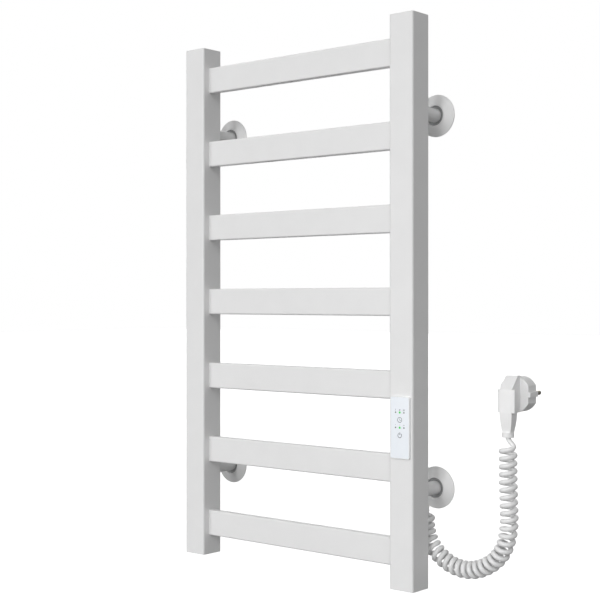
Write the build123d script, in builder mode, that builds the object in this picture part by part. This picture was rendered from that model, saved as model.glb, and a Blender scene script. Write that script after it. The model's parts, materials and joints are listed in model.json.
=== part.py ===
from build123d import *

import math
import os

# Electric towel rail: two square posts, seven flat rungs with a heating cable inside, a touch
# panel on the right post, four telescoping wall mounts with conical covers, and a curly mains
# cord that hangs in a U and ends in an angled two-pin plug.
#
# Millimetres. The origin is the centre of the four wall fixings, on the wall plane.
# +X is to the right, +Y is into the wall and +Z is up.

# ---- driving dimensions ----
rail_width = 330.0
rail_height = 600.0
wall_gap = 37.3                 # from the back of the posts to the wall

post_side = 30.0
post_wall = 1.5
post_edge_r = 2.2
cap_thickness = 2.0
cap_plug_length = 8.0
cap_plug_gap = 0.1

rung_count = 7
rung_pitch = 87.5
rung_height = 30.0
rung_depth = 9.0
rung_wall = 1.2
rung_edge_r = 1.8
rung_recess = 9.4               # from the front of the posts to the front of the rungs

mount_half_x = 150.0
mount_half_z = 200.0
stem_r = 7.4
stem_bore_r = 5.5
stem_bore_depth = 29.5
stem_wall_gap = 3.0             # the stem stops this far off the wall
stud_r = 3.95
stud_length = 8.0
boss_r = 7.0
boss_bore_r = 4.0
boss_length = 7.0
grub_r = 1.9
grub_hole_r = 2.0
grub_y = -22.0

flange_r = 15.0
flange_thickness = 1.5
spigot_r = 5.45
spigot_bore_r = 4.1
spigot_length = 28.5
screw_hole_r = 2.6
screw_floor = 3.0               # thickness under the wall screw's head

cover_r = 22.7
cover_height = 5.0
cover_rim = 1.2
cover_lip_r = 12.2
cover_hole_r = 10.8
cover_wall = 1.5
cover_collar_end_y = -1.8
cover_edge_r = 0.3
ring_gap = 0.07                 # running clearance of the grip ring on the stem
ring_thickness = 1.2

panel_z = -130.5
panel_width = 24.5
panel_height = 65.0
panel_proud = 2.0
panel_corner_r = 2.5
panel_border = 0.8
overlay_thickness = 0.6
window_width = 21.0
window_height = 61.0
collar_gap = 0.2
collar_wall = 1.3
collar_depth = 3.5
led_r = 0.75
led_pitch = 5.3
led_rows_z = (-114.7, -130.4)

board_width = 20.6
board_height = 64.0
board_thickness = 1.2
cable_r = 2.0                   # heating cable
cable_bend_r = 8.0
wire_r = 1.0                    # single wires inside the post
earth_z = -252.0

gland_z = -215.0
gland_flange_r = 6.0
gland_flange_thickness = 2.5
gland_neck_r = 4.5
gland_inner_length = 8.0
boot_root_r = 4.6
boot_tip_r = 3.1
boot_end_y = -25.3

cord_r = 2.4
cord_bore_r = 2.5
coil_r = 9.5                    # outer radius of the curly cord
tail_y = -20.3

plug_x = 252.0
plug_z = -94.0
plug_r = 18.5
plug_flat_half = 16.2
plug_tab_height = 5.0
plug_front_y = -12.3
plug_back_y = 3.7
pin_r = 2.4
pin_length = 19.0
pin_half_spacing = 9.5
plug_exit_z = -137.0
plug_exit_y = -24.3

# Route of the curly cord's axis: down behind the right post, round in a U and up to the plug.
curly_route = [
    (150.0, -20.3, -226.0),
    (150.0, -20.3, -245.5),
    (161.5, -21.0, -263.5),
    (182.5, -21.6, -276.5),
    (207.0, -22.3, -279.0),
    (229.5, -22.9, -270.0),
    (246.0, -23.5, -254.5),
    (253.5, -24.0, -231.0),
    (252.9, -24.3, -203.0),
    (252.0, -24.3, -174.0),
    (252.0, -24.3, -146.0),
]

# ---- derived places ----
half_height = rail_height / 2
post_x = (rail_width - post_side) / 2
post_back_y = -wall_gap
post_front_y = post_back_y - post_side
post_y = (post_back_y + post_front_y) / 2
post_inner_side = post_side - 2 * post_wall
post_length = rail_height - 2 * cap_thickness
inner_back_y = post_back_y - post_wall
inner_front_y = post_front_y + post_wall

rung_length = rail_width - 2 * post_side
rung_y = post_front_y + rung_recess + rung_depth / 2
rung_zs = [rung_pitch * ((rung_count - 1) / 2 - i) for i in range(rung_count)]

corners = {
    "ul": (-mount_half_x, mount_half_z),
    "ur": (mount_half_x, mount_half_z),
    "ll": (-mount_half_x, -mount_half_z),
    "lr": (mount_half_x, -mount_half_z),
}
stem_end_y = -stem_wall_gap
stem_length = wall_gap - stem_wall_gap
panel_face_y = post_front_y - panel_proud
collar_end_y = post_front_y + collar_depth
earth_x = post_x + 6
board_back_y = collar_end_y + board_thickness

os.makedirs("parts", exist_ok=True)
made = []


def front_plane(y):
    """A sketch plane at this Y, facing the room: its x is X, its y is Z, extrude runs to -Y."""
    return Plane.XZ.offset(-y)


def save(part, name):
    """Label a finished piece and write it as its own STEP file."""
    part.label = name
    export_step(part, f"parts/{name}.step")
    made.append(name)


def corner_radii(points):
    """Arc radius at each inner corner of a route: 0.45 of the shorter run over tan(half turn)."""
    radii = []
    for before, corner, after in zip(points, points[1:], points[2:]):
        run_in = Vector(*corner) - Vector(*before)
        run_out = Vector(*after) - Vector(*corner)
        half_turn = math.radians(run_in.get_angle(run_out)) / 2
        radii.append(0.45 * min(run_in.length, run_out.length) / math.tan(half_turn))
    return radii


# ---- posts ----
for side, x in (("left", -post_x), ("right", post_x)):
    inner_face_x = x - math.copysign(post_side / 2, x)
    with BuildPart() as post:
        with BuildSketch(Plane.XY.offset(-post_length / 2)):
            with Locations((x, post_y)):
                RectangleRounded(post_side, post_side, post_edge_r)
                Rectangle(post_inner_side, post_inner_side, mode=Mode.SUBTRACT)
        extrude(amount=post_length)
        # slots that let the heating cable through into each rung
        with BuildSketch(Plane.YZ.offset(inner_face_x)):
            with Locations([(rung_y, z) for z in rung_zs]):
                RectangleRounded(rung_depth - 3.4, rung_height - 8, 1.5)
        extrude(amount=post_wall + 0.5, both=True, mode=Mode.SUBTRACT)
        # holes for the stem studs in the back wall
        with BuildSketch(front_plane(post_back_y)):
            with Locations((x, mount_half_z), (x, -mount_half_z)):
                Circle(stud_r + 0.25)
        extrude(amount=post_wall, mode=Mode.SUBTRACT)
        if side == "right":
            # cord gland hole and earth screw hole in the back wall
            with BuildSketch(front_plane(post_back_y)):
                with Locations((x, gland_z)):
                    Circle(gland_neck_r + 0.1)
                with Locations((earth_x, earth_z)):
                    Circle(1.65)
            extrude(amount=post_wall, mode=Mode.SUBTRACT)
            # window for the touch panel in the front wall
            with BuildSketch(front_plane(inner_front_y)):
                with Locations((x, panel_z)):
                    RectangleRounded(window_width, window_height, 1.5)
            extrude(amount=post_wall, mode=Mode.SUBTRACT)
    save(post.part, f"{side}_post")

# ---- post caps ----
for level, up in (("top", 1), ("bottom", -1)):
    for side, x in (("left", -post_x), ("right", post_x)):
        with BuildPart() as post_cap:
            with BuildSketch(Plane.XY.offset(up * post_length / 2)):
                with Locations((x, post_y)):
                    RectangleRounded(post_side, post_side, post_edge_r)
            extrude(amount=up * cap_thickness)
            with BuildSketch(Plane.XY.offset(up * post_length / 2)):
                with Locations((x, post_y)):
                    cap_plug_side = post_inner_side - 2 * cap_plug_gap
                    RectangleRounded(cap_plug_side, cap_plug_side, 1)
                    Rectangle(cap_plug_side - 3, cap_plug_side - 3, mode=Mode.SUBTRACT)
            extrude(amount=-up * cap_plug_length)
        save(post_cap.part, f"post_cap_{level}_{side}")

# ---- rungs ----
for number, z in enumerate(rung_zs, start=1):
    with BuildPart() as rung:
        with BuildSketch(Plane.YZ.offset(-rung_length / 2)):
            with Locations((rung_y, z)):
                RectangleRounded(rung_depth, rung_height, rung_edge_r)
                RectangleRounded(
                    rung_depth - 2 * rung_wall,
                    rung_height - 2 * rung_wall,
                    rung_edge_r - rung_wall,
                    mode=Mode.SUBTRACT,
                )
        extrude(amount=rung_length)
    save(rung.part, f"rung_{number}")

# ---- wall mounts: stem, bush, cover and grip ring at each corner ----
for corner, (x, z) in corners.items():
    with BuildPart() as stem:
        with BuildSketch(front_plane(stem_end_y)):
            with Locations((x, z)):
                Circle(stem_r)
        extrude(amount=stem_length)
        chamfer(stem.faces().sort_by(Axis.Y)[-1].edges(), length=0.4)
        with BuildSketch(front_plane(stem_end_y)):
            with Locations((x, z)):
                Circle(stem_bore_r)
        extrude(amount=stem_bore_depth, mode=Mode.SUBTRACT)
        with BuildSketch(front_plane(post_back_y)):
            with Locations((x, z)):
                Circle(stud_r)
        extrude(amount=stud_length)
        # radial hole for the grub screw, from below
        with BuildSketch(Plane.XY.offset(z - stem_r - 1)):
            with Locations((x, grub_y)):
                Circle(grub_hole_r)
        extrude(amount=stem_r + 1 - stem_bore_r / 2, mode=Mode.SUBTRACT)
    save(stem.part, f"stem_{corner}")

    with BuildPart() as wall_bush:
        with BuildSketch(front_plane(0)):
            with Locations((x, z)):
                Circle(flange_r)
        extrude(amount=flange_thickness)
        chamfer(wall_bush.faces().sort_by(Axis.Y)[0].edges(), length=0.8)
        with BuildSketch(front_plane(-flange_thickness)):
            with Locations((x, z)):
                Circle(spigot_r)
        extrude(amount=spigot_length)
        with BuildSketch(front_plane(-screw_floor)):
            with Locations((x, z)):
                Circle(spigot_bore_r)
        extrude(amount=flange_thickness + spigot_length - screw_floor, mode=Mode.SUBTRACT)
        with BuildSketch(front_plane(0)):
            with Locations((x, z)):
                Circle(screw_hole_r)
        extrude(amount=screw_floor, mode=Mode.SUBTRACT)
    save(wall_bush.part, f"wall_bush_{corner}")

    # The cover's inner cone runs parallel to the outer one, cover_wall inside it.
    cone_run = cover_r - cover_lip_r
    cone_rise = cover_height - cover_rim
    wall_along_y = cover_wall * math.hypot(cone_run, cone_rise) / cone_run
    inner_foot_r = cover_r - (wall_along_y - cover_rim) * cone_run / cone_rise
    collar_r = cover_hole_r + cover_wall
    collar_top_y = -(inner_foot_r - collar_r) * cone_rise / cone_run
    cover_profile = [
        (cover_r, 0),
        (cover_r, -cover_rim),
        (cover_lip_r, -cover_height),
        (cover_hole_r, -cover_height),
        (cover_hole_r, cover_collar_end_y),
        (collar_r, cover_collar_end_y),
        (collar_r, collar_top_y),
        (inner_foot_r, 0),
    ]
    with BuildPart() as cover:
        with BuildSketch(Plane.XY.offset(z)):
            with BuildLine():
                FilletPolyline(*[(x + r, y) for r, y in cover_profile], radius=cover_edge_r, close=True)
            make_face()
        revolve(axis=Axis((x, 0, z), (0, 1, 0)))
    save(cover.part, f"cover_{corner}")

    ring_profile = [
        (stem_r + ring_gap, cover_collar_end_y),
        (stem_r + ring_gap, cover_collar_end_y - ring_thickness),
        (cover_hole_r, cover_collar_end_y - ring_thickness),
        (cover_hole_r, cover_collar_end_y),
    ]
    with BuildPart() as cover_ring:
        with BuildSketch(Plane.XY.offset(z)):
            with BuildLine():
                FilletPolyline(*[(x + r, y) for r, y in ring_profile], radius=0.4, close=True)
            make_face()
        revolve(axis=Axis((x, 0, z), (0, 1, 0)))
    save(cover_ring.part, f"cover_ring_{corner}")

with BuildPart() as stem_bosses:
    with BuildSketch(front_plane(inner_back_y)):
        with Locations(*corners.values()):
            Circle(boss_r)
            Circle(boss_bore_r, mode=Mode.SUBTRACT)
    extrude(amount=boss_length)
save(stem_bosses.part, "stem_bosses")

with BuildPart() as grub_screws:
    for x, z in corners.values():
        with BuildSketch(Plane.XY.offset(z - stem_r + 0.3)):
            with Locations((x, grub_y)):
                Circle(grub_r)
        extrude(amount=stem_r - 0.3 - spigot_r - 0.15)
        with BuildSketch(Plane.XY.offset(z - stem_r + 0.3)):
            with Locations((x, grub_y)):
                RegularPolygon(1.0, 6, major_radius=False)
        extrude(amount=0.9, mode=Mode.SUBTRACT)
save(grub_screws.part, "grub_screws")

# ---- heating cable: up the right post, then back and forth through every rung ----
turn_x = post_x - 4
riser_x = post_x + 10
riser_y = inner_back_y - 4.5
splice_z = -78.0
splice_length = 26.0
cable_start_z = splice_z + splice_length
cable_route = [
    (riser_x, riser_y, cable_start_z),
    (riser_x, riser_y, rung_zs[0] - 48),
    (riser_x - 2, rung_y, rung_zs[0] - 22),
    (riser_x - 4, rung_y, rung_zs[0]),
]
for number, z in enumerate(rung_zs):
    side = -1 if number % 2 == 0 else 1
    cable_route.append((side * turn_x, rung_y, z))
    if number < rung_count - 1:
        cable_route.append((side * turn_x, rung_y, rung_zs[number + 1]))
seal_z = rung_zs[-1] + 28
seal_length = 24.0
cable_route.append((-turn_x, rung_y, seal_z))

with BuildPart() as heating_cable:
    with BuildLine() as cable_line:
        FilletPolyline(*cable_route, radius=cable_bend_r)
    with BuildSketch(Plane(origin=cable_route[0], z_dir=(0, 0, 1))):
        Circle(cable_r)
    sweep()
save(heating_cable.part, "heating_cable")
cable_length = cable_line.wire().length

with BuildPart() as cable_splice:
    with BuildSketch(Plane.XY.offset(splice_z)):
        with Locations((riser_x, riser_y)):
            Circle(3.2)
    extrude(amount=splice_length)
    chamfer(cable_splice.edges().filter_by(GeomType.CIRCLE), length=0.6)
save(cable_splice.part, "cable_splice")

with BuildPart() as cable_end_seal:
    with BuildSketch(Plane.XY.offset(seal_z)):
        with Locations((-turn_x, rung_y)):
            Circle(2.9)
    extrude(amount=seal_length)
    chamfer(cable_end_seal.faces().sort_by(Axis.Z)[-1].edges(), length=1)
save(cable_end_seal.part, "cable_end_seal")

# ---- touch panel ----
led_places = [(post_x + column * led_pitch, z) for z in led_rows_z for column in (-1, 0, 1)]
lit_places = [(post_x, z) for z in led_rows_z]
unlit_places = [place for place in led_places if place[0] != post_x]

with BuildPart() as panel_frame:
    with BuildSketch(front_plane(post_front_y)):
        with Locations((post_x, panel_z)):
            RectangleRounded(panel_width, panel_height, panel_corner_r)
    extrude(amount=panel_proud)
    fillet(panel_frame.faces().sort_by(Axis.Y)[0].edges(), radius=0.5)
    with BuildSketch(front_plane(panel_face_y + overlay_thickness)):
        with Locations((post_x, panel_z)):
            pocket_r = panel_corner_r - panel_border
            RectangleRounded(panel_width - 2 * panel_border, panel_height - 2 * panel_border, pocket_r)
    extrude(amount=overlay_thickness, mode=Mode.SUBTRACT)
    with BuildSketch(front_plane(collar_end_y)):
        with Locations((post_x, panel_z)):
            collar_w = window_width - 2 * collar_gap
            collar_h = window_height - 2 * collar_gap
            RectangleRounded(collar_w, collar_h, 1.3)
            Rectangle(collar_w - 2 * collar_wall, collar_h - 2 * collar_wall, mode=Mode.SUBTRACT)
    extrude(amount=collar_depth)
    with BuildSketch(front_plane(post_front_y)):
        with Locations(*led_places):
            Circle(led_r + 0.1)
    extrude(amount=panel_proud, mode=Mode.SUBTRACT)
save(panel_frame.part, "panel_frame")

with BuildPart() as panel_overlay:
    with BuildSketch(front_plane(panel_face_y + overlay_thickness)):
        with Locations((post_x, panel_z)):
            overlay_w = panel_width - 2 * panel_border - 0.2
            overlay_h = panel_height - 2 * panel_border - 0.2
            RectangleRounded(overlay_w, overlay_h, pocket_r - 0.1)
        with Locations(*led_places):
            Circle(led_r + 0.1, mode=Mode.SUBTRACT)
    extrude(amount=overlay_thickness)
save(panel_overlay.part, "panel_overlay")

for name, places in (("status_leds_on", lit_places), ("status_leds_off", unlit_places)):
    with BuildPart() as status_leds:
        with BuildSketch(front_plane(collar_end_y)):
            with Locations(*places):
                Circle(led_r)
        extrude(amount=collar_end_y - panel_face_y)
    save(status_leds.part, name)

# ---- electronics behind the panel ----
with BuildPart() as control_board:
    with BuildSketch(front_plane(board_back_y)):
        with Locations((post_x, panel_z)):
            Rectangle(board_width, board_height)
    extrude(amount=board_thickness)
save(control_board.part, "control_board")

with BuildPart() as relay:
    with BuildSketch(front_plane(board_back_y + 10.5)):
        with Locations((post_x - 1, -142)):
            RectangleRounded(15, 15, 0.6)
    extrude(amount=10.5)
save(relay.part, "relay")

with BuildPart() as power_supply:
    with BuildSketch(front_plane(board_back_y + 12)):
        with Locations((post_x + 1, -120)):
            RectangleRounded(17, 20, 0.8)
    extrude(amount=12)
    chamfer(power_supply.faces().sort_by(Axis.Y)[-1].edges(), length=0.8)
save(power_supply.part, "power_supply")

mains_terminal_z = -157.0
heater_terminal_z = -103.0
terminal_half = 3.5
terminal_places = [(post_x, mains_terminal_z), (post_x, heater_terminal_z)]
screw_places = [(x + side * terminal_half, z) for x, z in terminal_places for side in (-1, 1)]
with BuildPart() as terminal_blocks:
    with BuildSketch(front_plane(board_back_y + 9)):
        with Locations(*terminal_places):
            Rectangle(14, 8)
    extrude(amount=9)
    with BuildSketch(front_plane(board_back_y + 9)):
        with Locations(*screw_places):
            Circle(1.6)
    extrude(amount=2.5, mode=Mode.SUBTRACT)
save(terminal_blocks.part, "terminal_blocks")

shroud_back_y = inner_front_y + 17.7
with BuildPart() as insulating_shroud:
    with BuildSketch(Plane.XY.offset(-167)):
        with Locations((post_x, (inner_front_y + shroud_back_y) / 2)):
            Rectangle(26.4, shroud_back_y - inner_front_y)
        with Locations((post_x, (inner_front_y + shroud_back_y) / 2 - 0.5)):
            Rectangle(24.4, shroud_back_y - inner_front_y - 1, mode=Mode.SUBTRACT)
    extrude(amount=73)
save(insulating_shroud.part, "insulating_shroud")

with BuildPart() as temperature_sensor:
    with BuildSketch(Plane.XY.offset(-72)):
        with Locations((post_x - 10, inner_back_y - 2.2)):
            Circle(2.2)
    extrude(amount=9)
    fillet(temperature_sensor.faces().sort_by(Axis.Z)[-1].edges(), radius=1.6)
save(temperature_sensor.part, "temperature_sensor")

with BuildPart() as thermal_fuse:
    with BuildSketch(Plane.XY.offset(-72)):
        with Locations((post_x - 2, inner_back_y - 2.0)):
            Circle(2.0)
    extrude(amount=11)
    chamfer(thermal_fuse.edges().filter_by(GeomType.CIRCLE), length=0.5)
save(thermal_fuse.part, "thermal_fuse")

# ---- wires inside the right post ----
sheath_end_y = -45.8
live_x = post_x + terminal_half
neutral_x = post_x - terminal_half
live_route = [
    (151.3, sheath_end_y, -215.8),
    (151.3, -49.3, -215.8),
    (157, -57.3, -205),
    (live_x, -58.3, -186),
    (live_x, -58.3, mains_terminal_z - 4),
]
neutral_route = [
    (150, sheath_end_y, -213.6),
    (150, -49.3, -213.6),
    (152, -56.3, -203),
    (neutral_x, -58.3, -186),
    (neutral_x, -58.3, mains_terminal_z - 4),
]
heater_routes = [
    [
        (terminal_x, -58.3, heater_terminal_z + 4),
        (terminal_x, -58.3, turn_z),
        (riser_x + offset, riser_y, turn_z + 6.5),
        (riser_x + offset, riser_y, splice_z),
    ]
    for terminal_x, offset, turn_z in ((neutral_x, -1.4, -93), (live_x, 1.4, -94.5))
]
wire_routes = [live_route, neutral_route, *heater_routes]
with BuildPart() as internal_wires:
    for route in wire_routes:
        with BuildLine() as wire_line:
            FilletPolyline(*route, radius=corner_radii(route))
        start = Vector(*route[0])
        with BuildSketch(Plane(origin=start, z_dir=Vector(*route[1]) - start)):
            Circle(wire_r)
        sweep(path=wire_line.wire())
save(internal_wires.part, "internal_wires")

lug_thickness = 0.8
lug_wire_y = inner_back_y - lug_thickness - wire_r - 0.05
earth_route = [
    (148.7, sheath_end_y, -215.8),
    (148.7, -50.8, -215.8),
    (150.5, -49.3, -227),
    (155, -44.3, -236),
    (earth_x, lug_wire_y, earth_z + 10),
    (earth_x, lug_wire_y, earth_z + 4),
]
with BuildPart() as earth_wire:
    with BuildLine() as earth_line:
        FilletPolyline(*earth_route, radius=corner_radii(earth_route))
    earth_start = Vector(*earth_route[0])
    with BuildSketch(Plane(origin=earth_start, z_dir=Vector(*earth_route[1]) - earth_start)):
        Circle(wire_r)
    sweep(path=earth_line.wire())
save(earth_wire.part, "earth_wire")

with BuildPart() as earth_lug:
    with BuildSketch(front_plane(inner_back_y)):
        with Locations((earth_x, earth_z + 5)):
            Rectangle(4, 4)
        with Locations((earth_x, earth_z)):
            Circle(4)
            Circle(2.1, mode=Mode.SUBTRACT)
    extrude(amount=lug_thickness)
save(earth_lug.part, "earth_lug")

with BuildPart() as earth_screw:
    with BuildSketch(front_plane(inner_back_y - lug_thickness)):
        with Locations((earth_x, earth_z)):
            Circle(3.5)
    extrude(amount=2.4)
    fillet(earth_screw.faces().sort_by(Axis.Y)[0].edges(), radius=0.8)
    with BuildSketch(front_plane(post_back_y)):
        with Locations((earth_x, earth_z)):
            Circle(1.6)
    extrude(amount=post_wall + lug_thickness)
save(earth_screw.part, "earth_screw")

# ---- cord gland at the back of the right post ----
with BuildPart() as cord_gland:
    with BuildSketch(front_plane(post_back_y + gland_flange_thickness)):
        with Locations((post_x, gland_z)):
            Circle(gland_flange_r)
    extrude(amount=gland_flange_thickness)
    with BuildSketch(front_plane(post_back_y)):
        with Locations((post_x, gland_z)):
            Circle(gland_neck_r)
    extrude(amount=gland_inner_length)
    with BuildSketch(front_plane(post_back_y + gland_flange_thickness)):
        with Locations((post_x, gland_z)):
            Circle(cord_bore_r)
    extrude(amount=gland_flange_thickness + gland_inner_length, mode=Mode.SUBTRACT)
save(cord_gland.part, "cord_gland")

with BuildPart() as gland_nut:
    with BuildSketch(front_plane(inner_back_y)):
        with Locations((post_x, gland_z)):
            RegularPolygon(6.3, 6, major_radius=False)
            Circle(gland_neck_r + 0.05, mode=Mode.SUBTRACT)
    extrude(amount=4)
save(gland_nut.part, "gland_nut")

boot_start_y = post_back_y + gland_flange_thickness
with BuildPart() as gland_boot:
    with BuildSketch(front_plane(boot_end_y)):
        with Locations((post_x, gland_z)):
            Circle(boot_tip_r)
    with BuildSketch(front_plane(boot_start_y)):
        with Locations((post_x, gland_z)):
            Circle(boot_root_r)
    loft()
    with BuildSketch(front_plane(boot_end_y)):
        with Locations((post_x, gland_z)):
            Circle(cord_bore_r)
    extrude(amount=boot_end_y - boot_start_y, mode=Mode.SUBTRACT)
save(gland_boot.part, "gland_boot")

# ---- mains cord ----
tail_route = [(post_x, sheath_end_y, gland_z), (post_x, tail_y, gland_z), curly_route[0]]
with BuildPart() as cord_tail_rack:
    with BuildLine() as tail_line:
        FilletPolyline(*tail_route, radius=corner_radii(tail_route))
    with BuildSketch(front_plane(sheath_end_y)):
        with Locations((post_x, gland_z)):
            Circle(cord_r)
    sweep(path=tail_line.wire())
save(cord_tail_rack.part, "cord_tail_rack")

with BuildPart() as curly_cord:
    with BuildLine() as curly_line:
        FilletPolyline(*curly_route, radius=corner_radii(curly_route))
    curly_start = Vector(*curly_route[0])
    with BuildSketch(Plane(origin=curly_start, z_dir=Vector(*curly_route[1]) - curly_start)):
        Circle(coil_r)
    sweep(path=curly_line.wire())
save(curly_cord.part, "curly_cord")

with BuildPart() as cord_tail_plug:
    with BuildSketch(Plane.XY.offset(curly_route[-1][2])):
        with Locations((plug_x, plug_exit_y)):
            Circle(cord_r)
    extrude(amount=plug_exit_z - curly_route[-1][2])
save(cord_tail_plug.part, "cord_tail_plug")

# ---- angled plug ----
grip_half = 7.1
grip_bottom_z = -112.0
grip_front_y = -29.3
ridge_half = 9.7
ridge_edge_y = -28.3
ridge_back_y = -25.2
boot_foot_z = -132.0

with BuildPart() as plug_body:
    # grip: side profile with a slanted top
    with BuildSketch(Plane.YZ.offset(plug_x - grip_half)):
        with BuildLine():
            Polyline(
                (plug_front_y + 1, -75.2),
                (-17.3, -75.2),
                (grip_front_y, -88.5),
                (grip_front_y - 0.4, grip_bottom_z),
                (plug_front_y + 1, grip_bottom_z),
                close=True,
            )
        make_face()
    extrude(amount=2 * grip_half)
    fillet(plug_body.faces().sort_by(Axis.Y)[0].edges().filter_by(Axis.X, reverse=True), radius=1.4)
    # finger ridges along both front corners of the grip
    with BuildSketch(Plane.XY.offset(grip_bottom_z)):
        with BuildLine():
            Polyline(
                (plug_x - ridge_half, ridge_back_y),
                (plug_x - ridge_half, ridge_edge_y),
                (plug_x - grip_half, grip_front_y),
                (plug_x + grip_half, grip_front_y),
                (plug_x + ridge_half, ridge_edge_y),
                (plug_x + ridge_half, ridge_back_y),
                close=True,
            )
        make_face()
    extrude(amount=-88.5 - grip_bottom_z)
    # round base with two flats and two guide tabs
    with BuildSketch(front_plane(plug_back_y)):
        with Locations((plug_x, plug_z)):
            Circle(plug_r)
            Rectangle(2 * plug_flat_half, 3 * plug_r, mode=Mode.INTERSECT)
            Rectangle(2 * plug_r, plug_tab_height)
    extrude(amount=plug_back_y - plug_front_y)
    # slots for the earth contacts, and the socket for a round earth pin
    for up in (1, -1):
        with BuildSketch(front_plane(plug_back_y)):
            with Locations((plug_x, plug_z + up * plug_r)):
                Rectangle(5.6, 4)
        extrude(amount=10, mode=Mode.SUBTRACT)
    with BuildSketch(front_plane(plug_back_y)):
        with Locations((plug_x, plug_z + 10)):
            Circle(2.55)
    extrude(amount=12, mode=Mode.SUBTRACT)
save(plug_body.part, "plug_body")

with BuildPart() as plug_boot:
    # side profile and front profile, both tapering down to the collar
    with BuildSketch(Plane.YZ.offset(plug_x - grip_half)):
        with BuildLine():
            front_edge = Spline((-29.7, grip_bottom_z), (-29.1, -121.0), (-27.7, boot_foot_z))
            back_edge = Spline((-18.3, grip_bottom_z), (-18.9, -121.0), (-20.5, boot_foot_z))
            Line(front_edge @ 0, back_edge @ 0)
            Line(front_edge @ 1, back_edge @ 1)
        make_face()
    extrude(amount=2 * grip_half)
    with BuildSketch(front_plane(plug_front_y)):
        with BuildLine():
            half_widths = ((grip_half, grip_bottom_z), (6.5, -121.0), (4.7, boot_foot_z))
            left_edge = Spline(*[(plug_x - half, z) for half, z in half_widths])
            right_edge = Spline(*[(plug_x + half, z) for half, z in half_widths])
            Line(left_edge @ 0, right_edge @ 0)
            Line(left_edge @ 1, right_edge @ 1)
        make_face()
    extrude(amount=20, mode=Mode.INTERSECT)
    with BuildSketch(Plane.XY.offset(plug_exit_z)):
        with Locations((plug_x, plug_exit_y)):
            Circle(6.2)
    extrude(amount=boot_foot_z - plug_exit_z)
    fillet(plug_boot.faces().sort_by(Axis.Z)[0].edges(), radius=0.5)
save(plug_boot.part, "plug_boot")

with BuildPart() as plug_pins:
    for side in (-1, 1):
        with BuildSketch(front_plane(plug_back_y + pin_length)):
            with Locations((plug_x + side * pin_half_spacing, plug_z)):
                Circle(pin_r)
        extrude(amount=pin_length)
    fillet(plug_pins.faces().sort_by(Axis.Y)[-2:].edges(), radius=0.8)
save(plug_pins.part, "plug_pins")

with BuildPart() as earth_contacts:
    for up in (1, -1):
        with BuildSketch(front_plane(plug_back_y - 0.5)):
            with Locations((plug_x, plug_z + up * (plug_r - 1.4))):
                Rectangle(4.6, 1.0)
        extrude(amount=9.5)
save(earth_contacts.part, "earth_contacts")

# ---- checks printed for the maker ----
for name, route, line, tube, radius in (
    ("curly_cord", curly_route, curly_line, curly_cord, coil_r),
    ("cord_tail_rack", tail_route, tail_line, cord_tail_rack, cord_r),
    ("earth_wire", earth_route, earth_line, earth_wire, wire_r),
):
    length = line.wire().length
    ratio = tube.part.volume / (math.pi * radius**2 * length)
    print(f"{name}: length {length:.1f}, volume ratio {ratio:.4f}")
    print("  radii", [round(r, 1) for r in corner_radii(route)])
cable_ratio = heating_cable.part.volume / (math.pi * cable_r**2 * cable_length)
print(f"heating_cable: length {cable_length:.0f}, volume ratio {cable_ratio:.4f}")
print(f"{len(made)} nodes")
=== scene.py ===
import json
import math

import bpy
import numpy as np
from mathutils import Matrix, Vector


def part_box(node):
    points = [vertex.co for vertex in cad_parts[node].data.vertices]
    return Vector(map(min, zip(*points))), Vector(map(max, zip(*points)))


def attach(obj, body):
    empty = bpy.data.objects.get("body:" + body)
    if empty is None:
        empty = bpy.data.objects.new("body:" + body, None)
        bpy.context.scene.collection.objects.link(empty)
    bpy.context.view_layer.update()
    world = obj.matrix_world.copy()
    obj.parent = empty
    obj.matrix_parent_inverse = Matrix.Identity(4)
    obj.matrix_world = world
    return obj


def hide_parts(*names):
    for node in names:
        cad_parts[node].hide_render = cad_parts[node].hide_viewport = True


# White electric towel rail with a touch panel, wall mounts and a curly mains cord.
# Everything is in metres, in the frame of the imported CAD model: +X right, +Y into the wall, +Z up.

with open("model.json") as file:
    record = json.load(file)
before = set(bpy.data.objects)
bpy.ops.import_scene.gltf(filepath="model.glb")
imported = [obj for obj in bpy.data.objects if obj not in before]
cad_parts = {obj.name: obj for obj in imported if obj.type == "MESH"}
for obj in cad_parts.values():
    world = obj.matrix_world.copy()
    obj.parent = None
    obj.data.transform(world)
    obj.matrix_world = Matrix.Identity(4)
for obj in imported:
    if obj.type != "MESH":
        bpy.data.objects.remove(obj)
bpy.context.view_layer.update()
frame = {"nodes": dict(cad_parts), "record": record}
nodes = frame["nodes"]
scene = bpy.context.scene


# ---------------------------------------------------------------- camera
camera_data = bpy.data.cameras.new("camera")
camera_data.lens = 75
camera_data.sensor_width = 36
camera = bpy.data.objects.new("camera", camera_data)
camera.location = (0.9020, -1.1274, 0.0018)
camera.rotation_euler = (math.radians(90), 0, math.radians(39.96))
scene.collection.objects.link(camera)
scene.camera = camera


# ---------------------------------------------------------------- material helpers
def srgb(*values):
    """sRGB values from 0 to 255 as a linear RGBA colour."""
    linear = [((v / 255 + 0.055) / 1.055) ** 2.4 if v > 10 else v / 255 / 12.92 for v in values]
    return (*linear, 1.0)


def shaded(color, factor):
    """The colour times a factor, clipped at white."""
    return (*[min(1.0, c * factor) for c in color[:3]], 1.0)


def add_node(tree, kind, **settings):
    """A new node in a node tree, with some of its settings."""
    made = tree.nodes.new(kind)
    for key, value in settings.items():
        setattr(made, key, value)
    return made


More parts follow.
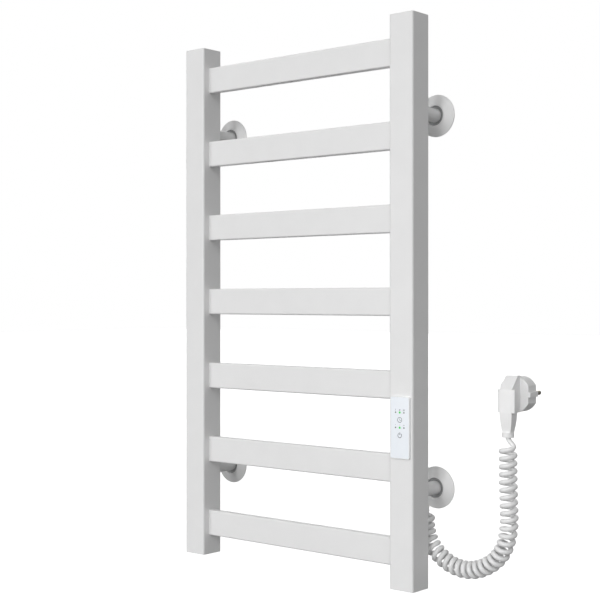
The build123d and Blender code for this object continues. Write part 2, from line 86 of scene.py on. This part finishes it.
class Surface:
    """One procedural material, built up call by call on its Principled shader."""

    def __init__(self, name, **sockets):
        self.material = bpy.data.materials.new(name)
        self.material.use_nodes = True
        self.tree = self.material.node_tree
        self.shader = self.tree.nodes["Principled BSDF"]
        self.coords = self.node("ShaderNodeTexCoord").outputs["Object"]
        self.normal = None
        for socket, value in sockets.items():
            self.shader.inputs[socket.replace("_", " ")].default_value = value

    def node(self, kind, **settings):
        return add_node(self.tree, kind, **settings)

    def link(self, source, target):
        self.tree.links.new(source, target)
        return target

    def stretched(self, scale):
        """Object coordinates scaled by three numbers."""
        mapping = self.node("ShaderNodeMapping")
        self.link(self.coords, mapping.inputs["Vector"])
        mapping.inputs["Scale"].default_value = scale
        return mapping.outputs["Vector"]

    def noise(self, scale, detail=3.0, roughness=0.55, stretch=(1, 1, 1)):
        noise = self.node("ShaderNodeTexNoise")
        self.link(self.stretched(stretch), noise.inputs["Vector"])
        noise.inputs["Scale"].default_value = scale
        noise.inputs["Detail"].default_value = detail
        noise.inputs["Roughness"].default_value = roughness
        return noise.outputs["Fac"]

    def cells(self, scale, feature="F1"):
        cells = self.node("ShaderNodeTexVoronoi", feature=feature)
        self.link(self.coords, cells.inputs["Vector"])
        cells.inputs["Scale"].default_value = scale
        return cells.outputs["Distance"]

    def remap(self, value, low, high, start=0.3, end=0.7):
        ranged = self.node("ShaderNodeMapRange")
        self.link(value, ranged.inputs["Value"])
        for socket, number in (("From Min", start), ("From Max", end), ("To Min", low), ("To Max", high)):
            ranged.inputs[socket].default_value = number
        return ranged.outputs["Result"]

    def blend(self, factor, first, second):
        """A colour between two colours or colour sockets."""
        mix = self.node("ShaderNodeMix", data_type="RGBA")
        self.link(factor, mix.inputs["Factor"])
        for socket, value in (("A", first), ("B", second)):
            socket = [s for s in mix.inputs if s.name == socket and s.type == "RGBA"][0]
            if isinstance(value, tuple):
                socket.default_value = value
            else:
                self.link(value, socket)
        return [s for s in mix.outputs if s.type == "RGBA"][0]

    def color(self, value):
        self.link(value, self.shader.inputs["Base Color"])
        return self

    def mottle(self, color, spread, scale, **noise):
        """Base colour that varies by a share of itself."""
        factor = self.remap(self.noise(scale, **noise), 0, 1)
        return self.color(self.blend(factor, shaded(color, 1 - spread), shaded(color, 1 + spread)))

    def gloss(self, low, high, scale, **noise):
        self.link(self.remap(self.noise(scale, **noise), low, high), self.shader.inputs["Roughness"])
        return self

    def bump(self, height, distance, strength=1.0):
        bump = self.node("ShaderNodeBump")
        bump.inputs["Strength"].default_value = strength
        bump.inputs["Distance"].default_value = distance
        self.link(height, bump.inputs["Height"])
        if self.normal is not None:
            self.link(self.normal, bump.inputs["Normal"])
        self.normal = bump.outputs["Normal"]
        self.link(self.normal, self.shader.inputs["Normal"])
        return self

    def grain(self, scale, distance, **noise):
        return self.bump(self.noise(scale, **noise), distance)


# ---------------------------------------------------------------- materials
WHITE = srgb(232, 232, 232)
PLASTIC_WHITE = srgb(240, 240, 240)

finishes = {}

# Satin powder coat: slight orange peel, a fine pigment speckle and a little unevenness in sheen.
coat = Surface("powder_coat", IOR=1.5)
coat.mottle(WHITE, 0.012, 35).gloss(0.36, 0.46, 60)
coat.grain(520, 0.000035, detail=1.5, roughness=0.4).grain(2600, 0.000006)
finishes["powder_coat"] = coat

# Extruded PVC jacket: soft gloss with faint drawing lines and a little haze.
jacket = Surface("cord_pvc", IOR=1.5)
jacket.mottle(srgb(236, 236, 236), 0.015, 90).gloss(0.26, 0.38, 140)
jacket.grain(700, 0.00003, detail=2.0).grain(3200, 0.000008)
finishes["cord_pvc"] = jacket

# Injection-moulded plastic of the plug: fine spark-eroded grain.
moulded = Surface("white_plastic", IOR=1.49)
moulded.mottle(PLASTIC_WHITE, 0.012, 70).gloss(0.34, 0.46, 200)
moulded.bump(moulded.cells(2600), 0.00002).grain(900, 0.00002)
finishes["white_plastic"] = moulded

# Panel frame.
frame_plastic = Surface("panel_plastic", IOR=1.49)
frame_plastic.mottle(srgb(247, 248, 249), 0.008, 120).gloss(0.22, 0.30, 180).grain(2200, 0.000008)
finishes["panel_plastic"] = frame_plastic

# Printed overlay: bluish white behind a hard clear face.
overlay = Surface("panel_overlay", IOR=1.52, Coat_Weight=0.5, Coat_Roughness=0.06)
overlay.mottle(srgb(240, 245, 251), 0.008, 150).gloss(0.20, 0.27, 300).grain(1800, 0.000005)
finishes["panel_overlay"] = overlay

lit = Surface("led_green", IOR=1.5, Emission_Color=srgb(0, 225, 60), Emission_Strength=0.75)
lit.mottle(srgb(10, 60, 24), 0.06, 900).gloss(0.2, 0.3, 900)
finishes["led_green"] = lit

unlit = Surface("led_grey", IOR=1.5)
unlit.mottle(srgb(84, 88, 94), 0.06, 900).gloss(0.2, 0.32, 900)
finishes["led_grey"] = unlit

rubber = Surface("grip_rubber", IOR=1.5)
rubber.mottle(srgb(160, 161, 162), 0.05, 400).gloss(0.6, 0.75, 500).grain(1800, 0.00003)
finishes["grip_rubber"] = rubber

zinc = Surface("zinc_plated_steel", Metallic=1.0)
zinc.mottle(srgb(186, 188, 190), 0.08, 160, detail=6.0).gloss(0.28, 0.5, 240).grain(1500, 0.00002)
finishes["zinc_plated_steel"] = zinc

dark = Surface("dark_steel", Metallic=1.0)
dark.mottle(srgb(72, 72, 74), 0.15, 500).gloss(0.4, 0.6, 700).grain(2400, 0.00002)
finishes["dark_steel"] = dark

silicone = Surface("cable_silicone", IOR=1.43)
silicone.mottle(srgb(150, 62, 44), 0.06, 120).gloss(0.45, 0.6, 200).grain(1500, 0.00002)
finishes["cable_silicone"] = silicone

board = Surface("circuit_board", IOR=1.5)
tracks = board.remap(board.cells(420, "DISTANCE_TO_EDGE"), 1, 0, 0.02, 0.08)
board.color(board.blend(tracks, srgb(24, 84, 52), srgb(46, 118, 74))).gloss(0.3, 0.42, 300)
board.bump(tracks, 0.00003)
finishes["circuit_board"] = board

black = Surface("black_plastic", IOR=1.49)
black.mottle(srgb(38, 38, 40), 0.1, 260).gloss(0.4, 0.55, 320).bump(black.cells(2200), 0.00002)
finishes["black_plastic"] = black

terminal = Surface("terminal_green", IOR=1.49)
terminal.mottle(srgb(60, 130, 74), 0.06, 260).gloss(0.4, 0.52, 320).grain(2000, 0.00002)
finishes["terminal_green"] = terminal

# Brown live wires on the right, blue neutral wires on the left.
wires = Surface("wire_blue_brown", IOR=1.45)
wires_x = wires.node("ShaderNodeSeparateXYZ")
wires.link(wires.coords, wires_x.inputs["Vector"])
live = wires.remap(wires_x.outputs["X"], 0, 1, 0.1507, 0.1509)
wires.color(wires.blend(live, srgb(38, 84, 160), srgb(104, 62, 38)))
wires.gloss(0.35, 0.45, 400).grain(2600, 0.00001)
finishes["wire_blue_brown"] = wires

# Green and yellow stripes round the earth wire.
earth = Surface("wire_earth", IOR=1.45)
stripes = earth.node("ShaderNodeTexWave", wave_type="BANDS", bands_direction="DIAGONAL")
earth.link(earth.coords, stripes.inputs["Vector"])
stripes.inputs["Scale"].default_value = 160
stripe = earth.remap(stripes.outputs["Fac"], 0, 1, 0.48, 0.52)
earth.color(earth.blend(stripe, srgb(40, 130, 60), srgb(222, 196, 40)))
earth.gloss(0.35, 0.45, 400).grain(2600, 0.00001)
finishes["wire_earth"] = earth

nickel = Surface("nickel_plated_brass", Metallic=1.0)
nickel.mottle(srgb(205, 200, 188), 0.05, 300).gloss(0.16, 0.30, 420).grain(1800, 0.000012)
finishes["nickel_plated_brass"] = nickel

for part in frame["record"]["subparts"]:
    slots = nodes[part["node"]].data.materials
    slots.clear()
    slots.append(finishes[part["material_slot"]].material)


# ---------------------------------------------------------------- mesh helpers
def piece(name, vertices, faces, slot, body, smooth=True):
    """A new mesh piece with its material, its slot and the body it rides on."""
    mesh = bpy.data.meshes.new(name)
    mesh.from_pydata([tuple(v) for v in vertices], [], faces)
    mesh.update()
    mesh.shade_smooth() if smooth else mesh.shade_flat()
    mesh.materials.append(finishes[slot].material)
    made = bpy.data.objects.new(name, mesh)
    scene.collection.objects.link(made)
    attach(made, body)
    return made


def nurbs_line(points, resolution=40):
    """Points read from the smooth spline that these points control."""
    curve = bpy.data.curves.new("route", "CURVE")
    curve.dimensions = "3D"
    curve.resolution_u = resolution
    spline = curve.splines.new("NURBS")
    spline.points.add(len(points) - 1)
    for control, point in zip(spline.points, points):
        control.co = (*point, 1.0)
    spline.order_u = 3
    spline.use_endpoint_u = True
    holder = bpy.data.objects.new("route", curve)
    mesh = bpy.data.meshes.new_from_object(holder)
    line = np.array([v.co for v in mesh.vertices], float)
    bpy.data.meshes.remove(mesh)
    bpy.data.objects.remove(holder)
    bpy.data.curves.remove(curve)
    return line


def lengths(line):
    """Distance along a line at each of its points."""
    return np.concatenate([[0.0], np.cumsum(np.linalg.norm(np.diff(line, axis=0), axis=1))])


def respaced(line, count):
    """The same line with count evenly spaced points."""
    along = lengths(line)
    at = np.linspace(0, along[-1], count)
    return np.stack([np.interp(at, along, line[:, k]) for k in range(3)], axis=1)


def frames(line, first=(1.0, 0.0, 0.0)):
    """Tangents and two steady side directions along a line, by parallel transport."""
    tangents = np.gradient(line, axis=0)
    tangents /= np.linalg.norm(tangents, axis=1)[:, None]
    side = np.array(first) - np.dot(first, tangents[0]) * tangents[0]
    sides = []
    for tangent in tangents:
        side = side - np.dot(side, tangent) * tangent
        side /= np.linalg.norm(side)
        sides.append(side)
    sides = np.array(sides)
    return tangents, sides, np.cross(tangents, sides)


def tube(line, radii, ring=16):
    """Vertices and faces of a closed tube along a line, one radius for each of its points."""
    _, sides, ups = frames(line)
    angles = np.linspace(0, 2 * math.pi, ring, endpoint=False)
    vertices = []
    for point, side, up, radius in zip(line, sides, ups, radii):
        vertices += [point + radius * (math.cos(a) * side + math.sin(a) * up) for a in angles]
    faces = []
    for i in range(len(line) - 1):
        for k in range(ring):
            a, b = i * ring + k, i * ring + (k + 1) % ring
            faces.append((a, b, b + ring, a + ring))
    faces.append(tuple(reversed(range(ring))))
    faces.append(tuple(range((len(line) - 1) * ring, len(line) * ring)))
    return vertices, faces


def smoothstep(x):
    x = np.clip(x, 0, 1)
    return x * x * (3 - 2 * x)


# ---------------------------------------------------------------- curly cord
WIRE_R = 0.0026
COIL_R = 0.0070                 # from the coil's axis to the middle of the wire
PITCH_AT_RACK = 0.00771         # packed a little closer from the rack round to the bottom of the U
PITCH_AT_PLUG = 0.0079
PITCH_CHANGE = [0.155, 0.170]   # along the axis from the rack
COIL_START = 0.0160             # along the axis from the rack
COIL_RAMP = 0.010               # the coil's radius and its turning both grow over this length
SWING_START = 0.0028            # back along the axis from the plug
SWING_RAMP = 0.0096
TURN_START = 0.0116
TURN_RAMP = 0.0035
END_PHASE = math.radians(180)
AXIS_POINTS = 1400
WIRE_STEP = 0.0018              # between the rings of the wire's mesh

# Out of the back of the right post, down, round in a U and up into the plug. The corner behind the
# post and the swing out of the plug are tighter than a real cord's.
cord_route = [
    (0.150, -0.0333, -0.215),
    (0.150, -0.0238, -0.215),
    (0.150, -0.0203, -0.2185),
    (0.150, -0.0203, -0.226),
    (0.150, -0.0203, -0.2455),
    (0.1615, -0.0210, -0.2635),
    (0.1825, -0.0216, -0.2765),
    (0.2070, -0.0223, -0.2790),
    (0.2295, -0.0229, -0.2700),
    (0.2460, -0.0235, -0.2545),
    (0.2535, -0.0240, -0.2310),
    (0.2529, -0.0243, -0.2030),
    (0.2520, -0.0243, -0.1740),
    (0.2520, -0.0243, -0.1460),
    (0.2520, -0.0243, -0.1345),
]
axis_line = respaced(nurbs_line(cord_route), AXIS_POINTS)
axis_along = lengths(axis_line)
axis_length = axis_along[-1]
_, axis_sides, axis_ups = frames(axis_line)

# The wire leaves the axis at the rack and is back on it at the plug. Near the plug it swings
# straight out to one side first, and only then starts to turn.
from_plug = axis_length - axis_along
leaving = smoothstep((axis_along - COIL_START) / COIL_RAMP)
grown = leaving * smoothstep((from_plug - SWING_START) / SWING_RAMP)
turn_rate = leaving * smoothstep((from_plug - TURN_START) / TURN_RAMP)
turn_rate *= 2 * math.pi / np.interp(axis_along, PITCH_CHANGE, [PITCH_AT_RACK, PITCH_AT_PLUG])
turned = np.concatenate([[0.0], np.cumsum((turn_rate[1:] + turn_rate[:-1]) / 2 * np.diff(axis_along))])
angle = (turned - turned[-1] + END_PHASE)[:, None]
outward = np.cos(angle) * axis_sides + np.sin(angle) * axis_ups
wire_fine = axis_line + (COIL_R * grown)[:, None] * outward
wire_length = lengths(wire_fine)[-1]
wire_line = respaced(wire_fine, int(wire_length / WIRE_STEP))
vertices, faces = tube(wire_line, [WIRE_R] * len(wire_line))
curly = piece("curly_cord_wire", vertices, faces, "cord_pvc", "rack")
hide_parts("cord_tail_rack", "curly_cord", "cord_tail_plug")

# Tapered, grooved strain relief that bends down with the wire behind the post.
RELIEF_LENGTH = 0.0225
RELIEF_LEAD = 0.0015            # about the stretch of it before the axis starts
RELIEF_ROOT = (0.150, -0.0350, -0.215)
RELIEF_ROOT_R = 0.0048
RELIEF_TAPER = 0.0017
RELIEF_POINTS = 121
GROOVES = 6.5
GROOVE_DEPTH = 0.00022
relief_run = axis_line[: int(np.searchsorted(axis_along, RELIEF_LENGTH - RELIEF_LEAD))]
relief_line = respaced(np.vstack([[RELIEF_ROOT], relief_run]), RELIEF_POINTS)
along = np.linspace(0, 1, RELIEF_POINTS)
grooved = (along > 0.12) & (along < 0.93)
waves = np.clip(3 * np.cos(2 * math.pi * GROOVES * along), -1, 1)
relief_radii = RELIEF_ROOT_R - RELIEF_TAPER * along - GROOVE_DEPTH * (1 + waves) * grooved
vertices, faces = tube(relief_line, relief_radii, 28)
relief = piece("gland_sleeve", vertices, faces, "white_plastic", "rack")
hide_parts("gland_boot")


# ---------------------------------------------------------------- printed signs on the panel
overlay_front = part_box("panel_overlay")[0].y
PANEL_X = 0.150
PRINT_DEPTH = 0.00003


def arc(x, z, radius, start, end, steps=40):
    """Points of a circle's arc in the panel's face, angles in degrees from +X."""
    angles = np.radians(np.linspace(start, end, steps))
    return [(x + radius * math.cos(a), z + radius * math.sin(a)) for a in angles]


def printed(name, strokes, slot):
    """Thin printed strokes, each (points, width), standing a hair proud of the overlay."""
    vertices, faces = [], []
    for points, width in strokes:
        path = np.array(points, float)
        closed = np.linalg.norm(path[0] - path[-1]) < 1e-9
        if closed:
            path = path[:-1]
            ahead = np.roll(path, -1, axis=0) - np.roll(path, 1, axis=0)
        else:
            ahead = np.gradient(path, axis=0)
        ahead /= np.linalg.norm(ahead, axis=1)[:, None]
        across = np.stack([-ahead[:, 1], ahead[:, 0]], axis=1) * width / 2
        base = len(vertices)
        for point, side in zip(path, across):
            for y, edge in ((0, -side), (-PRINT_DEPTH, -side), (-PRINT_DEPTH, side), (0, side)):
                vertices.append((point[0] + edge[0], overlay_front + y, point[1] + edge[1]))
        count = len(path)
        for i in range(count if closed else count - 1):
            a, b = base + 4 * i, base + 4 * ((i + 1) % count)
            faces += [(a + k, a + (k + 1) % 4, b + (k + 1) % 4, b + k) for k in range(4)]
        if not closed:
            last = base + 4 * (count - 1)
            faces += [(base + 3, base + 2, base + 1, base), (last, last + 1, last + 2, last + 3)]
    return piece(name, vertices, faces, slot, "rack", smooth=False)


def heat_wave(x, z, height):
    """A small upright S-shaped stroke."""
    steps = np.linspace(-0.5, 0.5, 13)
    return [(x + 0.00022 * math.sin(2 * math.pi * t), z + height * t) for t in steps]


SIGN_PITCH = 0.0053             # between the three columns of signs
HEAT_Z, HEAT_HEIGHT = -0.1121, 0.0017
DOT_Z, DOT_R = -0.12765, 0.00016
TIMER_Z, TIMER_R = -0.1224, 0.0026
POWER_Z, POWER_R = -0.1385, 0.0023
LIT_Z = (-0.1147, -0.1304)      # the two lights that are on
LIT_R = 0.00100

# Each column has one more heat wave and one more dot than the one before.
strokes = []
for column in range(3):
    x = PANEL_X + (column - 1) * SIGN_PITCH
    for k in range(column + 1):
        place = k - column / 2
        strokes.append((heat_wave(x + place * 0.00085, HEAT_Z, HEAT_HEIGHT), 0.00030))
        strokes.append((arc(x + place * 0.0008, DOT_Z, DOT_R, 0, 360, 13), 0.00022))
# Timer: a clock face with two hands.
strokes.append((arc(PANEL_X, TIMER_Z, TIMER_R, 0, 360, 49), 0.00050))
strokes.append(([(PANEL_X, TIMER_Z + 0.0015), (PANEL_X, TIMER_Z)], 0.00045))
strokes.append(([(PANEL_X - 0.0001, TIMER_Z - 0.00005), (PANEL_X + 0.0012, TIMER_Z - 0.0007)], 0.00045))
# Power: an open ring with a bar.
strokes.append((arc(PANEL_X, POWER_Z, POWER_R, 118, 422, 41), 0.00058))
strokes.append(([(PANEL_X, POWER_Z + 0.0032), (PANEL_X, POWER_Z + 0.0005)], 0.00055))
signs = printed("panel_signs", strokes, "led_grey")
signs.data.materials.clear()
ink = Surface("print_ink", IOR=1.5)
ink.mottle(srgb(80, 85, 98), 0.05, 1500).gloss(0.35, 0.45, 1500)
signs.data.materials.append(ink.material)

# Thin rings round the lit lights, painted with the lights' green glow: they shine by their own emission.
glow_windows = [(arc(PANEL_X, z, LIT_R, 0, 360, 33), 0.00030) for z in LIT_Z]
printed("led_glow_windows", glow_windows, "led_green")


# ---------------------------------------------------------------- floor, world and lights
FLOOR_Z = -1.0
FLOOR_HALF = 30
corners = [(x * FLOOR_HALF, y * FLOOR_HALF, FLOOR_Z) for x, y in ((-1, -1), (1, -1), (1, 1), (-1, 1))]
floor_mesh = bpy.data.meshes.new("floor")
floor_mesh.from_pydata(corners, [], [(0, 1, 2, 3)])
floor = bpy.data.objects.new("floor", floor_mesh)
scene.collection.objects.link(floor)
floor_paint = Surface("floor_paint", Emission_Color=(1, 1, 1, 1), Emission_Strength=0.7)
floor_paint.mottle(srgb(240, 240, 240), 0.01, 1.5).gloss(0.8, 0.9, 3)
floor_mesh.materials.append(floor_paint.material)
floor.visible_diffuse = False
floor.visible_glossy = False
floor.visible_shadow = False

# A dim room that is brighter towards some directions: (direction, strength) of each broad lobe.
LIGHT_LEVEL = 0.01
LIGHT_LOBES = (((0, 0, 1), 0.33), ((1, 0, 0), 0.28), ((0, 0, -1), 0.09))
world = bpy.data.worlds.new("studio")
scene.world = world
world.use_nodes = True
sky = world.node_tree
sky.nodes.clear()
direction = add_node(sky, "ShaderNodeTexCoord")
total = None
for toward, strength in LIGHT_LOBES:
    facing = add_node(sky, "ShaderNodeVectorMath", operation="DOT_PRODUCT")
    facing.inputs[1].default_value = toward
    ahead = add_node(sky, "ShaderNodeMath", operation="MAXIMUM")
    ahead.inputs[1].default_value = 0
    share = add_node(sky, "ShaderNodeMath", operation="MULTIPLY_ADD")
    share.inputs[1].default_value = strength
    share.inputs[2].default_value = LIGHT_LEVEL
    sky.links.new(direction.outputs["Generated"], facing.inputs[0])
    sky.links.new(facing.outputs["Value"], ahead.inputs[0])
    sky.links.new(ahead.outputs["Value"], share.inputs[0])
    if total is not None:
        sky.links.new(total, share.inputs[2])
    total = share.outputs["Value"]

# The object is lit by the soft lobes; the camera sees plain white behind it.
soft = add_node(sky, "ShaderNodeBackground")
plain = add_node(sky, "ShaderNodeBackground")
for background in (soft, plain):
    background.inputs["Color"].default_value = (1, 1, 1, 1)
path = add_node(sky, "ShaderNodeLightPath")
choose = add_node(sky, "ShaderNodeMixShader")
output = add_node(sky, "ShaderNodeOutputWorld")
sky.links.new(total, soft.inputs["Strength"])
plain.inputs["Strength"].default_value = 1.0
sky.links.new(path.outputs["Is Camera Ray"], choose.inputs["Fac"])
sky.links.new(soft.outputs["Background"], choose.inputs[1])
sky.links.new(plain.outputs["Background"], choose.inputs[2])
sky.links.new(choose.outputs["Shader"], output.inputs["Surface"])


def sun(name, toward, strength, spread):
    """A broad, even light that shines from the direction toward, spread wide for soft shadows."""
    data = bpy.data.lights.new(name, "SUN")
    data.energy = strength
    data.angle = math.radians(spread)
    light = bpy.data.objects.new(name, data)
    light.rotation_euler = Vector(toward).to_track_quat("Z", "Y").to_euler()
    scene.collection.objects.link(light)


sun("front_above", (0.09, -0.86, 0.5), 0.61, 25)
sun("front_left", (-0.42, -0.91, 0.0), 0.82, 20)
sun("front_right", (0.20, -0.98, 0.0), 0.62, 20)
sun("high_left", (-0.75, -0.43, 0.5), 0.32, 25)
sun("high_right", (0.56, -0.66, 0.5), 0.48, 25)
sun("back_fill", (-0.5, 1.0, 0.1), 1.1, 60)

scene.view_settings.view_transform = "Standard"
